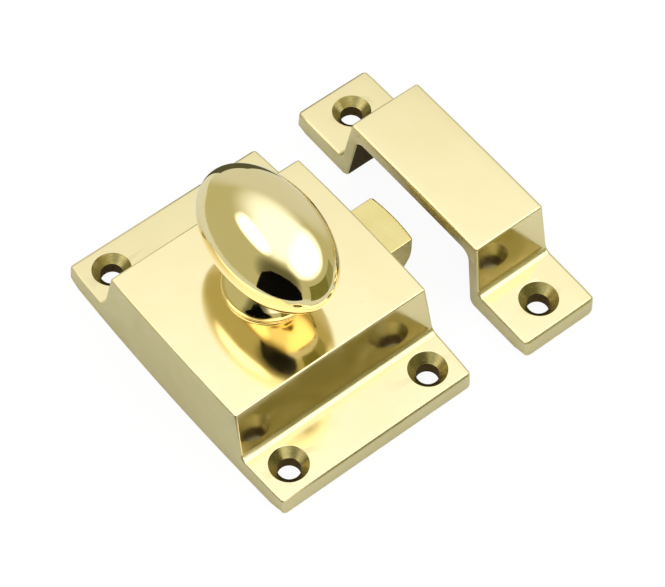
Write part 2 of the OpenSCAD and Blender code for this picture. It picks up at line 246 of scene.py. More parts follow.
brassFinish = {
    "buffed": {"colours": ("#F7E7BA", "#F2E0AE"), "roughness": (0.035, 0.075)},
    "linished": {"colours": ("#E6DAB2", "#D6C99C"), "roughness": (0.30, 0.42)},
    "cloudSize": 9,  # mm, patches of the two colours
    "smearSize": 3.5,
    "smearRange": (0.3, 0.7),
    "wavinessSize": 7.0,  # the soft waves that a hand-held buff leaves
    "wavinessHeight": 0.004,
    "beltLine": 0.14,  # between belt marks, drawn coarse enough to show
    "beltLength": 7,
    "beltHeight": 0.0022,
    "pitSpacing": 3.2,
    "pitRadius": 0.10,
    "pitFloor": 0.3,  # share of a pit's radius that is flat
    "pitDepth": 0.05,
    "pitLimit": 0.62,  # about one cell in four is above this and holds a pit
    "pitColour": "#8C7A45",
}


def castBrass():
    # Sand-cast brass, buffed to a mirror on its tops and belt-linished on its long sides: soft waves, belt
    # marks and a few casting pits. The linished share is a value that each piece carries.
    look = brassFinish
    material, tree, shader = newMaterial("cast brass, buffed and linished")
    linished = addNode(tree, "ShaderNodeAttribute", {"attribute_name": "linished"}).outputs["Fac"]
    cloud = unevenness(tree, look["cloudSize"], 3.0, roughness=0.6)
    smear = unevenness(tree, look["smearSize"], 4.0)
    tones, roughs = [], []
    for state in (look["buffed"], look["linished"]):
        light, deep = (hexToLinear(code) for code in state["colours"])
        tones.append(addNode(tree, "ShaderNodeMix", {"data_type": "RGBA"}, {
            0: cloud, 6: light, 7: deep}).outputs[2])
        start, end = look["smearRange"]
        low, high = state["roughness"]
        roughs.append(addNode(tree, "ShaderNodeMapRange", inputs={
            "Value": smear, "From Min": start, "From Max": end, "To Min": low, "To Max": high}))
    colour = addNode(tree, "ShaderNodeMix", {"data_type": "RGBA"}, {0: linished, 6: tones[0], 7: tones[1]})
    rough = addNode(tree, "ShaderNodeMix", {"data_type": "FLOAT"}, {0: linished, 2: roughs[0], 3: roughs[1]})
    # Pits
    spot = addNode(tree, "ShaderNodeTexCoord").outputs["Object"]
    cells = addNode(tree, "ShaderNodeTexVoronoi", inputs={
        "Vector": spot, "Scale": perMm(look["pitSpacing"]), "Randomness": 1.0})
    chosen = addNode(tree, "ShaderNodeMath", {"operation": "GREATER_THAN"}, {
        0: cells.outputs["Color"], 1: look["pitLimit"]})
    edge = look["pitRadius"] / look["pitSpacing"]
    hollow = addNode(tree, "ShaderNodeMapRange", {"interpolation_type": "SMOOTHSTEP"}, {
        "Value": cells.outputs["Distance"], "From Min": edge * look["pitFloor"], "From Max": edge,
        "To Min": 1.0, "To Max": 0.0})
    pit = addNode(tree, "ShaderNodeMath", {"operation": "MULTIPLY"}, {0: chosen, 1: hollow})
    pitted = addNode(tree, "ShaderNodeMix", {"data_type": "RGBA"}, {
        0: pit, 6: colour.outputs[2], 7: hexToLinear(look["pitColour"])})
    # Relief: waves everywhere, belt marks along the casting where it is linished, then the pits
    waved = addNode(tree, "ShaderNodeBump", inputs={
        "Height": unevenness(tree, look["wavinessSize"], 1.0), "Distance": look["wavinessHeight"] * mm})
    marks = unevenness(tree, (look["beltLine"], look["beltLength"], look["beltLine"]), 2.0)
    lines = addNode(tree, "ShaderNodeMath", {"operation": "MULTIPLY"}, {0: marks, 1: linished})
    lined = addNode(tree, "ShaderNodeBump", inputs={
        "Height": lines, "Distance": look["beltHeight"] * mm, "Normal": waved})
    dug = addNode(tree, "ShaderNodeBump", {"invert": True}, {
        "Height": pit, "Distance": look["pitDepth"] * mm, "Normal": lined})
    tree.links.new(pitted.outputs[2], shader.inputs["Base Color"])
    tree.links.new(rough.outputs[0], shader.inputs["Roughness"])
    tree.links.new(dug.outputs[0], shader.inputs["Normal"])
    return material


# The plainer metals: a cloud of two colours, and marks that set the roughness and the relief. Both are given
# as size, detail and turn, and without a cloud the marks also mix the colours. Rings, file lines and mill
# lines are drawn coarse enough to show
plainMetals = {
    "turned": {  # a rose bit leaves fine rings; its dark colours are painted shade in the countersinks
        "name": "turned brass", "colours": ("#A99D68", "#796D3D"), "cloud": (1.2, 4.0),
        "marks": ((4, 4, 0.11), 1.0), "roughness": (0.16, 0.34), "depth": 0.006},
    "drilled": {  # rough, because no buff reaches into the bore; its dark colours are painted shade for the dark that the bore mirrors
        "name": "drilled brass", "colours": ("#7C6438", "#584524"),
        "marks": (0.45, 5.0), "roughness": (0.45, 0.7), "depth": 0.05},
    "raw": {  # as it came from the sand: dull, grainy and a little brown
        "name": "as-cast brass", "colours": ("#C2A566", "#97804C"),
        "marks": (0.45, 5.0), "roughness": (0.45, 0.7), "depth": 0.05},
    "skin": {  # the same, but dark brown; it colours the faces inside the keep's tunnel under the bridge
        "name": "brass with its dark casting skin", "colours": ("#6B5630", "#46381E"),
        "marks": (0.45, 5.0), "roughness": (0.45, 0.7), "depth": 0.05},
    "filed": {  # drawn over a fine file, which leaves lines across the bolt's travel
        "name": "filed brass", "colours": ("#EBDC9E", "#D9C582"), "cloud": (5, 3.0),
        "marks": ((0.16, 5, 0.16), 2.0, 14), "roughness": (0.18, 0.32), "depth": 0.006},
    "sheet": {  # never polished: faint mill lines and a dull skin
        "name": "rolled sheet brass", "colours": ("#D8C382", "#C2AA68"),
        "marks": ((0.2, 9, 0.2), 3.0), "roughness": (0.28, 0.42), "depth": 0.003},
    "zinc": {  # turned steel with a thin bright plate
        "name": "zinc-plated steel", "colours": ("#C9CBCD", "#A9ADB2"),
        "marks": (0.8, 4.0), "roughness": (0.22, 0.36)},
    "wire": {  # hard-drawn, so dark grey and a little uneven
        "name": "drawn spring wire", "colours": ("#9A9C9E", "#77797C"),
        "marks": (0.4, 3.0), "roughness": (0.25, 0.4)},
}


def plainMetal(look):
    material, tree, shader = newMaterial(look["name"])
    marks = unevenness(tree, *look["marks"])
    cloud = unevenness(tree, *look["cloud"]) if "cloud" in look else marks
    light, deep = (hexToLinear(code) for code in look["colours"])
    colour = addNode(tree, "ShaderNodeMix", {"data_type": "RGBA"}, {0: cloud, 6: light, 7: deep})
    tree.links.new(colour.outputs[2], shader.inputs["Base Color"])
    low, high = look["roughness"]
    rough = addNode(tree, "ShaderNodeMapRange", inputs={"Value": marks, "To Min": low, "To Max": high})
    tree.links.new(rough.outputs[0], shader.inputs["Roughness"])
    if "depth" in look:
        bump = addNode(tree, "ShaderNodeBump", inputs={"Height": marks, "Distance": look["depth"] * mm})
        tree.links.new(bump.outputs[0], shader.inputs["Normal"])
    return material


finishes = {name: plainMetal(look) for name, look in plainMetals.items()}
finishes["cast"] = castBrass()
print("finishes made:", len(finishes))


def dress(piece, rules, linished=None):
    # rules are (material, test on a face's centre and normal); the first that holds wins
    mesh = piece.data
    mesh.materials.clear()
    for material, _ in rules:
        mesh.materials.append(material)
    for face in mesh.polygons:
        centre = face.center / mm
        face.material_index = next(i for i, (_, test) in enumerate(rules) if test(centre, face.normal))
    if linished:
        share = mesh.attributes.new("linished", "FLOAT", "POINT")
        values = [linished(v.co / mm, v.normal) for v in mesh.vertices]
        share.data.foreach_set("value", np.array(values, np.float32))
    return piece


# Screw holes: a drilled bore, a rose-bit countersink with turning rings, and a rim worn round by the buff

holes = {
    "radius": 2.17,
    "sinkRadius": 3.9,
    "rimWidth": 0.42,
    "rimDepth": 0.13,
    "rimTurn": 75,  # degrees that the worn rim rolls over
    "rimSteps": 5,
    "rimProud": 0.002,  # the rim ends just above the face, so that the cut is clean
    "rings": 8,
    "ringDepth": 0.036,
    "ringLean": 0.2,  # the foot of each groove lies this share of its depth further in
    "sides": 72,
    "below": 1.5,  # how far the bit goes past both faces
    "above": 2.0,
}


def holeProfile(thickness):
    radius, sink, depth = holes["radius"], holes["sinkRadius"], holes["rimDepth"]
    low = thickness - (sink - radius)
    top = thickness - depth
    profile = [(0, -holes["below"]), (radius, -holes["below"]), (radius, low)]
    for i in range(1, holes["rings"] + 1):
        share = i / holes["rings"]
        r = radius + (sink - depth - radius) * share
        z = low + (top - low) * share
        profile.append((r - holes["ringDepth"] * holes["ringLean"], z - holes["ringDepth"]))
        profile.append((r, z))
    last = math.radians(holes["rimTurn"])
    for k in range(1, holes["rimSteps"] + 1):
        turn = last * k / holes["rimSteps"]
        profile.append((sink - depth + holes["rimWidth"] * (1 - math.cos(turn)) / (1 - math.cos(last)),
                        top + (depth + holes["rimProud"]) * math.sin(turn) / math.sin(last)))
    return profile + [(profile[-1][0], thickness + holes["above"]), (0, thickness + holes["above"])]


def lathe(name, profile, sides):
    points = []
    rings = []
    for r, z in profile:
        if r == 0:
            rings.append([len(points)] * sides)
            points.append((0, 0, z))
            continue
        rings.append(list(range(len(points), len(points) + sides)))
        points += [(r * math.cos(t), r * math.sin(t), z)
                   for t in (2 * math.pi * k / sides for k in range(sides))]
    faces = []
    for a, b in zip(rings, rings[1:]):
        for i in range(sides):
            corners = [a[i], a[(i + 1) % sides], b[(i + 1) % sides], b[i]]
            faces.append(tuple(dict.fromkeys(corners)))
    return meshObject(name, points, faces)


def repeatTree():
    # Geometry Nodes: one piece at the corners of a rectangle, or at both ends of a line
    tree = bpy.data.node_groups.new("at the corners", "GeometryNodeTree")
    sockets = {"Piece": "NodeSocketObject", "Spacing X": "NodeSocketFloat", "Spacing Y": "NodeSocketFloat",
               "Centre": "NodeSocketVector", "Material": "NodeSocketMaterial"}
    for name, kind in sockets.items():
        tree.interface.new_socket(name, in_out="INPUT", socket_type=kind)
    tree.interface.new_socket("Geometry", in_out="OUTPUT", socket_type="NodeSocketGeometry")
    given = addNode(tree, "NodeGroupInput").outputs
    grid = addNode(tree, "GeometryNodeMeshGrid", inputs={
        "Size X": given["Spacing X"], "Size Y": given["Spacing Y"], "Vertices X": 2, "Vertices Y": 2})
    corners = addNode(tree, "GeometryNodeMergeByDistance", inputs={
        "Geometry": grid.outputs["Mesh"], "Distance": 0.01 * mm})
    placed = addNode(tree, "GeometryNodeSetPosition", inputs={
        "Geometry": corners, "Offset": given["Centre"]})
    piece = addNode(tree, "GeometryNodeObjectInfo", {"transform_space": "ORIGINAL"}, {
        "Object": given["Piece"]})
    copies = addNode(tree, "GeometryNodeInstanceOnPoints", inputs={
        "Points": placed, "Instance": piece.outputs["Geometry"]})
    solid = addNode(tree, "GeometryNodeRealizeInstances", inputs={"Geometry": copies})
    painted = addNode(tree, "GeometryNodeSetMaterial", inputs={
        "Geometry": solid, "Material": given["Material"]})
    addNode(tree, "NodeGroupOutput", inputs={"Geometry": painted})
    return tree


atCorners = repeatTree()


def grow(name, tree, values):  # runs a Geometry Nodes tree on an empty mesh, and keeps what it makes
    host = bpy.data.objects.new(name, bpy.data.meshes.new(name))
    bpy.context.scene.collection.objects.link(host)
    maker = host.modifiers.new(name, "NODES")
    maker.node_group = tree
    for item in tree.interface.items_tree:
        if item.in_out == "INPUT" and item.name in values:
            maker[item.identifier] = values[item.name]
    return settle(host)


def drill(piece, thickness, spacingX, spacingY, centreX):
    bit = lathe("rose bit", holeProfile(thickness), holes["sides"])
    bits = grow("rose bits", atCorners, {
        "Piece": bit, "Spacing X": spacingX * mm, "Spacing Y": spacingY * mm,
        "Centre": (centreX * mm, 0, 0), "Material": finishes["turned"]})
    bpy.data.objects.remove(bit)
    return carve(piece, bits)


def holeFinishes(thickness, spacingX, spacingY, centreX):
    # how far a point is from the axis of the nearest hole, and the finishes inside the holes
    def away(p):
        return math.hypot(abs(p.x - centreX) - spacingX / 2, abs(p.y) - spacingY / 2)

    def inHole(p, n):
        level = 0.95  # a face that looks up this much is a part of the top
        return away(p) < holes["sinkRadius"] - slack and backFace < p.z < thickness - slack and n.z < level

    def inBore(p, n):
        onWall = 0.02
        return inHole(p, n) and away(p) < holes["radius"] + onWall

    # inside the holes both finishes are darkened: painted shade in the bore and in the countersinks
    return away, [(finishes["drilled"], inBore), (finishes["turned"], inHole)]


# What both castings share

rounds = {  # radius of each rounded corner of their sections, and the steps round it
    "bottom": (0.4, 5),
    "flange": (0.7, 8),
    "root": (1.4, 12),
    "top": (0.45, 7),
}

belt = {  # part of the normal along X or Y at which belt marks begin, and at which they are full
    "side": (0.25, 0.85),
    "end": (0.45, 0.95),
    "endDepth": 1.0,  # from the end of the casting
    "topDepth": 0.6,  # from its top, as far as the buff reaches
    "holeRim": 1.0,  # round a hole, where the buff reaches the arris too
}


def beltShare(p, n, thickness, halfLength):
    side = smoothStep(abs(n.x), *belt["side"])
    end = smoothStep(abs(n.y), *belt["end"]) * (p.z < thickness - slack)
    return side, end * (abs(p.y) > halfLength - belt["endDepth"])


def arrisShare(piece, n, fromHole):
    return 0 if fromHole < holes["sinkRadius"] + belt["holeRim"] else onArris(n, piece["arrisSatin"])


def roundedEnd(size, y, radius, halfLength):  # half width of a bar whose plan corners are rounded
    past = min(max(abs(y) - (halfLength - radius), 0), radius)
    return size - radius + math.sqrt(radius ** 2 - past ** 2)


# Case: the CAD casting, trimmed by a skin whose long arrises are dubbed over as the belt leaves them

case = {
    "halfLength": 32.3,
    "flangeTopEnd": 31.948,
    "halfWidth": 22.75,
    "flange": 4.4,
    "height": 16.0,
    "topHalf": 18.35,
    "baseHalf": 20.6,
    "sideBow": 0.8,
    "draft": 0.056,  # how much narrower each long side gets per mm of height
    "planCorner": 1.3,
    "crown": 0.001,  # 1 / radius of the slight dome that the buff leaves on the top
    "flangeFall": 0.032,
    "topSatin": 0.13,  # how far each face is from a mirror, 0 to 1
    "flangeSatin": 0.3,
    "wallSatin": 0.26,
    "arrisSatin": 0.9,
    "arris": 0.42,
    "depth": 0.02,  # the skin lies this far inside the CAD faces, so that it alone gives the outside
    "holeX": 32.0,
    "holeY": 53.0,
    "cavity": 19.7,  # half length of the hollow at its foot
    "cavityLean": 0.194,
    "cavityX": 20.5,
    "cavityTop": 13.3,
    "boreRadius": 4.2,  # round the spindle
    "boreTop": 15.8,
    "slotHalf": 6.3,  # the bolt's way out
    "slotFacing": 0.5,  # its faces lean less than this along X
}


def caseHalfWidth(y, z):
    size = case["halfWidth"] - case["draft"] * z - case["sideBow"] * (y / case["halfLength"]) ** 2
    return roundedEnd(size, y, case["planCorner"], case["halfLength"])


def placeCase(w, u, v):
    return (w, u, v - crowned(w, u, v, case["height"], case["crown"])
            - sagging(u, v, case["baseHalf"], case["flange"], case["flangeFall"]))


def buildCase():
    skin = sweptBar(
        "case skin",
        bothSides([
            (case["halfLength"], 0.0, *rounds["bottom"]),
            (case["flangeTopEnd"], case["flange"], *rounds["flange"]),
            (case["baseHalf"], case["flange"], *rounds["root"]),
            (case["topHalf"], case["height"], *rounds["top"]),
        ]),
        caseHalfWidth, case["arris"], placeCase, case["depth"])
    body = carve(cadCopy("case", "case_body"), skin, "INTERSECT")
    drill(body, case["flange"] - case["depth"], case["holeX"], case["holeY"], 0.0)
    polish(body)
    away, holeRules = holeFinishes(case["flange"], case["holeX"], case["holeY"], 0.0)

    def inside(p, n):
        end = case["cavity"] - case["cavityLean"] * p.z
        slot = abs(p.y) < case["slotHalf"] and abs(n.x) < case["slotFacing"]
        top = case["boreTop" if math.hypot(p.x, p.y) < case["boreRadius"] else "cavityTop"]
        return backFace < p.z < top and abs(p.y) < end and (abs(p.x) < case["cavityX"] or slot)

    def linished(p, n):
        top = p.z > case["height"] - belt["topDepth"]
        face = "topSatin" if top else "wallSatin" if p.z > case["flange"] else "flangeSatin"
        side, end = beltShare(p, n, case["flange"], case["halfLength"])
        return max(side, end, case[face], arrisShare(case, n, away(p)))

    return dress(body, holeRules + [
        (finishes["raw"], inside),
        (finishes["cast"], lambda p, n: True),
    ], linished)


caseBody = buildCase()
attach(caseBody, "case_and_keep")
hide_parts("case")
print("case:", len(caseBody.data.polygons), "faces")


# Keep: one bar with a tunnel, swept across

keep = {
    "centreX": 41.75,
    "halfWidth": 8.6,
    "draft": 0.035,
    "halfLength": 33.9,
    "footTopEnd": 33.548,
    "foot": 4.4,
    "height": 16.6,
    "under": 13.2,
    "topHalf": 17.95,
    "baseHalf": 20.0,
    "tunnelTop": 15.82,
    "tunnelTopRound": (2.0, 12),
    "tunnelBase": 18.04,
    "tunnelBaseRound": (1.8, 12),
    "tunnelSlack": 0.15,
    "tunnelFacing": 0.8,  # its faces lean less than this along X
    "corner": 1.5,
    "crown": 0.001,
    "footFall": 0.02,
    "satin": 0.16,
    "wallSatin": 0.24,
    "arrisSatin": 0.9,
    "bridgeShine": 0.6,  # how much brighter the bridge's sides are than the feet's
    "shineRise": (11.7, 13.7),  # heights between which it comes in
    "arris": 0.6,
    "holeY": 54.8,
}


def keepHalfWidth(y, z):
    return roundedEnd(keep["halfWidth"] - keep["draft"] * z, y, keep["corner"], keep["halfLength"])


def placeKeep(w, u, v):
    return (keep["centreX"] + w, u, v - crowned(w, u, v, keep["height"], keep["crown"])
            - sagging(u, v, keep["baseHalf"], keep["foot"], keep["footFall"]))


def buildKeep():
    body = sweptBar(
        "keep_body",
        bothSides([
            (keep["tunnelTop"], keep["under"], *keep["tunnelTopRound"]),
            (keep["tunnelBase"], 0.0, *keep["tunnelBaseRound"]),
            (keep["halfLength"], 0.0, *rounds["bottom"]),
            (keep["footTopEnd"], keep["foot"], *rounds["flange"]),
            (keep["baseHalf"], keep["foot"], *rounds["root"]),
            (keep["topHalf"], keep["height"], *rounds["top"]),
        ]),
        keepHalfWidth, keep["arris"], placeKeep)
    drill(body, keep["foot"], 0.0, keep["holeY"], keep["centreX"])
    polish(body)
    away, holeRules = holeFinishes(keep["foot"], 0.0, keep["holeY"], keep["centreX"])

    def linished(p, n):
        side, end = beltShare(p, n, keep["foot"], keep["halfLength"])
        side *= 1 - keep["bridgeShine"] * float(smoothStep(p.z, *keep["shineRise"]))
        wall = keep["foot"] < p.z < keep["height"] - belt["topDepth"]
        return max(side, end, keep["wallSatin" if wall else "satin"], arrisShare(keep, n, away(p)))

    def tunnel(p, n):
        end = keep["tunnelBase"] - (keep["tunnelBase"] - keep["tunnelTop"]) / keep["under"] * p.z
        inEnds = abs(p.y) < end + keep["tunnelSlack"]
        return backFace < p.z < keep["under"] + slack and inEnds and abs(n.x) < keep["tunnelFacing"]

    return dress(body, holeRules + [
        # the faces inside the tunnel under the bridge are coloured dark brown
        (finishes["skin"], tunnel),
        (finishes["cast"], lambda p, n: True),
    ], linished)


keepBody = buildKeep()
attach(keepBody, "case_and_keep")
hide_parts("keep")
print("keep:", len(keepBody.data.polygons), "faces")


# Knob: oval head, neck and foot melt into each other as one casting does; spindle and square below

knob = {
    "head": (9.9, 16.3, 11.3),  # half width, half length, half depth
    "headCentre": 30.2,
    "footBottom": 16.08,
    "footEdge": 0.3,  # rounding under the foot
    "footReach": 8.48,
    "heart": 19.9,  # point on the axis that sees the whole outside
    "footLine": [(8.5, 16.08), (8.38, 17.3), (7.5, 18.55), (5.9, 20.3)],
    "neckRadius": 5.6,
    "neckFlare": 0.145,
    "neckTop": 25,  # inside the head
    "blend": 0.55,
    "footRounding": 0.5,
    "segments": 176,
    "rows": [(4, 0.4), (20, 0.7), (89.2, 1.3)],  # degrees above the heart, and the step up to there
    "lastRow": 89.3,
    "farthest": 26.0,  # further out than any point of the skin
    "halvings": 46,
    "spindleRadius": 4.0,
    "spindleBottom": 10.8,
    "relief": (0.3, 0.2),  # where the spindle meets the foot: across and down
    "square": 2.75,
    "squareBottom": 4.45,
    "chamfer": (0.25, 0.3),
    "tapping": 1.75,
    "tappingTop": 10.95,
    "drillPoint": 0.6,
}


def smoothMin(a, b, k):
    h = np.clip(0.5 + 0.5 * (b - a) / k, 0, 1)
    return b + (a - b) * h - k * h * (1 - h)


def knobField(x, y, z):  # below zero inside the metal
    a, b, c = knob["head"]
    up = z - knob["headCentre"]
    reach = np.sqrt((x / a) ** 2 + (y / b) ** 2 + (up / c) ** 2)
    slope = np.sqrt((x / a ** 2) ** 2 + (y / b ** 2) ** 2 + (up / c ** 2) ** 2)
    head = (reach - 1) * reach / np.maximum(slope, 1e-6)
    r = np.hypot(x, y)
    foot = None
    line = knob["footLine"]
    for (r0, z0), (r1, z1) in zip(line, line[1:]):
        length = math.hypot(r1 - r0, z1 - z0)
        face = ((z1 - z0) * (r - r0) - (r1 - r0) * (z - z0)) / length
        foot = face if foot is None else -smoothMin(-foot, -face, knob["footRounding"])
    flare = knob["neckFlare"] * (z - line[-1][1])
    neck = np.maximum(r - knob["neckRadius"] - flare, z - knob["neckTop"])
    return smoothMin(smoothMin(head, neck, knob["blend"]), foot, knob["blend"])


def skinRows():  # tilts of the rows of points, closest where the foot meets the neck
    low = math.atan2(knob["footBottom"] + knob["footEdge"] - knob["heart"], knob["footReach"])
    start = math.degrees(low)
    rows = []
    for end, step in knob["rows"]:
        rows.append(np.arange(start, end, step))
        start = end
    return np.radians(np.concatenate(rows + [[knob["lastRow"]]]))


def knobSkin(around):  # halves the way out from the heart until it lands on the outside
    tilts = skinRows()
    near = np.zeros((len(tilts), len(around)))
    far = np.full((len(tilts), len(around)), knob["farthest"])
    out = np.cos(tilts)[:, None]
    rise = np.sin(tilts)[:, None]
    for _ in range(knob["halvings"]):
        half = (near + far) / 2
        outside = knobField(half * out * np.cos(around), half * out * np.sin(around),
                            knob["heart"] + half * rise) > 0
        far = np.where(outside, half, far)
        near = np.where(outside, near, half)
    reach = (near + far) / 2
    return np.stack([reach * out * np.cos(around), reach * out * np.sin(around),
                     knob["heart"] + reach * rise], axis=-1)


def belowFoot(around, rim):  # radius and height of each ring: rounded edge, spindle, squared end, screw hole
    edge = knob["footEdge"]
    foot, square, steps = knob["footBottom"], knob["squareBottom"], 5
    turns = [math.pi / 2 * k / steps for k in range(1, steps + 1)]
    squared = knob["square"] / np.maximum(abs(np.cos(around)), abs(np.sin(around)))
    reliefOut, reliefDown = knob["relief"]
    chamferIn, chamferUp = knob["chamfer"]
    return [(rim - edge * (1 - math.cos(t)), foot + edge * (1 - math.sin(t))) for t in turns] + [
        (knob["spindleRadius"] + reliefOut, foot), (knob["spindleRadius"], foot - reliefDown),
        (knob["spindleRadius"], knob["spindleBottom"]), (squared, knob["spindleBottom"]),
        (squared, square + chamferUp), (squared - chamferIn, square),
        (knob["tapping"], square), (knob["tapping"], knob["tappingTop"])]


def buildKnob():
    sides = knob["segments"]
    around = 2 * np.pi * (np.arange(sides) + 0.5) / sides
    shell = knobSkin(around)
    below = belowFoot(around, float(np.hypot(*shell[0, 0, :2])))
    rings = [np.stack([r * np.cos(around), r * np.sin(around), np.full(sides, z)], axis=-1)
             for r, z in reversed(below)]
    rings += list(shell)
    points = [(0, 0, knob["tappingTop"] + knob["drillPoint"])]
    points += [tuple(p) for ring in rings for p in ring]
    points.append((0, 0, knob["headCentre"] + knob["head"][2]))
    faces = [(0, 1 + (i + 1) % sides, 1 + i) for i in range(sides)]
    for k in range(len(rings) - 1):
        a = 1 + k * sides
        b = a + sides
        faces += [(a + i, a + (i + 1) % sides, b + (i + 1) % sides, b + i) for i in range(sides)]
    last = len(points) - 1
    faces += [(last - sides + i, last - sides + (i + 1) % sides, last) for i in range(sides)]
    body = meshObject("knob_body", points, faces)
    polish(body)
    # Buffed to a mirror, so the normals of the shell are the field's own
    co = np.array([v.co for v in body.data.vertices]) / mm
    step = 0.01
    grad = np.stack([knobField(*(co + move).T) - knobField(*(co - move).T)
                     for move in np.eye(3) * step], axis=-1)
    grad /= np.linalg.norm(grad, axis=1)[:, None]
    own = np.array([v.normal for v in body.data.vertices])
    mirror = co[:, 2] > knob["footBottom"] + knob["footEdge"] + step
    own[mirror] = grad[mirror]
    normals = [own[loop.vertex_index] if mirror[loop.vertex_index] else Vector(corner.vector)
               for loop, corner in zip(body.data.loops, body.data.corner_normals)]
    body.data.normals_split_custom_set([tuple(n) for n in normals])
    return dress(body, [
        (finishes["raw"], lambda p, n: p.z < knob["footBottom"] - slack),
        (finishes["cast"], lambda p, n: True),
    ], lambda p, n: 0.0)


knobBody = buildKnob()
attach(knobBody, "turn")
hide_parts("knob")
print("knob:", len(knobBody.data.polygons), "faces")


# Bolt: the CAD casting, its nose trimmed to soft arrises

bolt = {
    "tip": 29.8,
    "bottom": 1.65,
    "top": 10.65,
    "halfWidth": 6.0,
    "rampRadius": 8.7,
    "rampHeight": 6.7,
    "rampSteps": 14,
    "noseFrom": 19.4,
    "noseBow": 0.45,
    "noseLean": 0.15,
    "noseRound": (0.6, 7),
    "bowFrom": 21.2,
    "planCorner": 0.8,
    "arris": 0.22,
    "bays": 10,
    "depth": 0.02,
    "wallFace": 20.2,  # behind here the CAD shape is kept
    "tail": 12,  # the block round all that is kept
    "filedFrom": 18,
}


def buildBolt():
    low = math.asin(bolt["rampHeight"] / bolt["rampRadius"])
    sharp = (0, 1)
    corners = [(bolt["noseFrom"], bolt["bottom"], *sharp)]
    for k in range(bolt["rampSteps"] + 1):
        turn = low * (1 - k / bolt["rampSteps"])
        corners.append((bolt["tip"] - bolt["rampRadius"] * (1 - math.cos(turn)),
                        bolt["bottom"] + bolt["rampHeight"] - bolt["rampRadius"] * math.sin(turn), *sharp))
    corners += [(bolt["tip"] - bolt["noseLean"], bolt["top"], *bolt["noseRound"]),
                (bolt["noseFrom"], bolt["top"], *sharp)]

    def halfWidth(x, z):
        return roundedEnd(bolt["halfWidth"], max(x, 0), bolt["planCorner"], bolt["tip"])

    def place(w, u, v):
        return (u - bolt["noseBow"] * (w / bolt["halfWidth"]) ** 2 * (u > bolt["bowFrom"]), w, v)

    envelope = sweptBar("nose skin", corners, halfWidth, bolt["arris"], place, bolt["depth"],
                        bays=bolt["bays"])
    tail = bolt["tail"]
    block = [(x, y, z) for x in (-tail, bolt["wallFace"]) for y in (-tail, tail) for z in (0, tail)]
    carve(envelope, meshObject("tail block", block, [
        (0, 1, 3, 2), (4, 6, 7, 5), (0, 4, 5, 1), (2, 3, 7, 6), (0, 2, 6, 4), (1, 5, 7, 3)]), "UNION")
    body = carve(cadCopy("bolt", "bolt_body"), envelope, "INTERSECT")
    polish(body)
    return dress(body, [
        (finishes["filed"], lambda p, n: p.x > bolt["filedFrom"]),
        (finishes["raw"], lambda p, n: True),
    ])


boltBody = buildBolt()
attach(boltBody, "latch_bolt")
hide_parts("bolt")
print("bolt:", len(boltBody.data.polygons), "faces")


# Bolt spring: Geometry Nodes wind the wire along X

spring = {
    "turns": 7.0,
    "coilRadius": 2.05,
    "wireRadius": 0.25,
    "stepsPerTurn": 40,
    "wireSides": 14,
    "from": -18.45,
    "to": -7.4,
    "height": 6.15,
    "wallFace": -18.7,
    "keptShare": 0.365,  # of its length, with the bolt drawn back
}


def springTree():
    tree = bpy.data.node_groups.new("wound spring", "GeometryNodeTree")
    for name in ("Turns", "Coil Radius", "Wire Radius", "Length"):
        tree.interface.new_socket(name, in_out="INPUT", socket_type="NodeSocketFloat")
    tree.interface.new_socket("Start", in_out="INPUT", socket_type="NodeSocketVector")
    tree.interface.new_socket("Material", in_out="INPUT", socket_type="NodeSocketMaterial")
    tree.interface.new_socket("Geometry", in_out="OUTPUT", socket_type="NodeSocketGeometry")
    given = addNode(tree, "NodeGroupInput").outputs
    helix = addNode(tree, "GeometryNodeCurveSpiral", inputs={
        "Resolution": spring["stepsPerTurn"], "Rotations": given["Turns"], "Height": given["Length"],
        "Start Radius": given["Coil Radius"], "End Radius": given["Coil Radius"]})
    wire = addNode(tree, "GeometryNodeCurvePrimitiveCircle", inputs={
        "Resolution": spring["wireSides"], "Radius": given["Wire Radius"]})
    swept = addNode(tree, "GeometryNodeCurveToMesh", inputs={
        "Curve": helix, "Profile Curve": wire.outputs["Curve"], "Fill Caps": True})
    laid = addNode(tree, "GeometryNodeTransform", inputs={
        "Geometry": swept, "Translation": given["Start"], "Rotation": (0, math.pi / 2, 0)})
    smooth = addNode(tree, "GeometryNodeSetShadeSmooth", inputs={"Geometry": laid})
    solid = addNode(tree, "GeometryNodeRealizeInstances", inputs={"Geometry": smooth})
    painted = addNode(tree, "GeometryNodeSetMaterial", inputs={
        "Geometry": solid, "Material": given["Material"]})
    addNode(tree, "NodeGroupOutput", inputs={"Geometry": painted})
    return tree


springBody = grow("bolt_spring_wire", springTree(), {
    "Turns": spring["turns"], "Coil Radius": spring["coilRadius"] * mm,
    "Wire Radius": spring["wireRadius"] * mm, "Length": (spring["to"] - spring["from"]) * mm,
    "Start": (spring["from"] * mm, 0, spring["height"] * mm), "Material": finishes["wire"]})
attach(springBody, "case_and_keep")
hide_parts("bolt_spring")
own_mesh(springBody)
print("spring:", len(springBody.data.polygons), "faces")


# CAD nodes that keep their shape

for node, finish in {
    "cam": "raw", "cam_washer": "zinc", "cam_screw": "zinc", "back_plate": "sheet",
    "plate_screw_1": "sheet", "plate_screw_2": "sheet", "plate_screw_3": "sheet", "plate_screw_4": "sheet",
}.items():
    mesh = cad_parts[node].data
    mesh.materials.clear()
    mesh.materials.append(finishes[finish])


# Studio: a pale sheet in a light tent, bright at both sides and overhead, with cards that the metal mirrors

studio = {
    "floorHalf": 400,
    "floorDrop": 0.05,
    "sheetColour": "#C6C7C0",
    "sheetHalf": (62, 105),  # along X and Y
    "sheetCentre": (14, 45),
    "sheetEdge": (0.9, 1.05),  # shares of its half sizes between which the sheet ends
    "paperWhite": 0.8,
    "paperGlow": 0.93,  # how much of the floor's white the camera sees whatever its shade
    "tentLow": "#C4C29A",  # dim lower walls of the tent
    "tentHigh": (1.44, 1.52, 1.6),  # linear, and brighter than white
    "rises": (25, 76),  # degrees above the floor between which the low walls turn into the bright top
    "patchSquareness": 3.0,  # 2 would make each patch a plain oval
}

